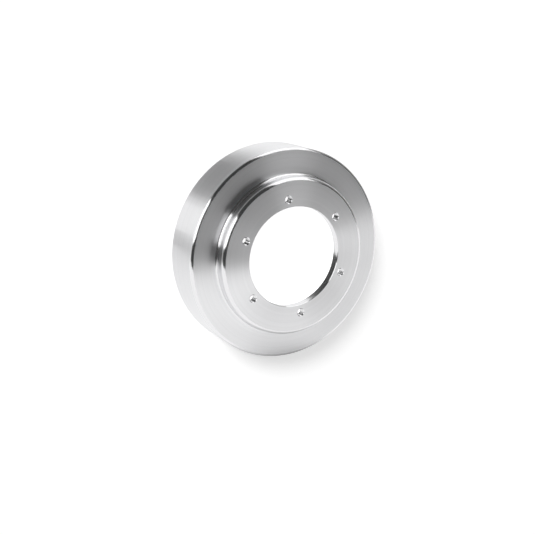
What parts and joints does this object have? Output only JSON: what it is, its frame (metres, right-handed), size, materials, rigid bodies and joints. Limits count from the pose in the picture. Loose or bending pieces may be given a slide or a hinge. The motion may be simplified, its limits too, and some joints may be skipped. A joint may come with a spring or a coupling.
{
  "type": "fan drive pulley",
  "caption": "Turned flat-belt fan drive pulley: deep open-backed rim, ring web and raised bolting hub with a centring bore and tapped bolt circle.",
  "frame": {"origin": "on the pulley's axis, in the plane of the rim's open end, on which it stands", "axes": "+Z along the axis, out of the hub's bolting face; +X through the middle of one bolt hole"},
  "size_m": [0.22, 0.22, 0.0585],
  "materials": {
    "turned_aluminium": "bright fine-turned"
  },
  "bodies": {
    "root": {"pulley": "turned_aluminium"}
  },
  "joints": []
}
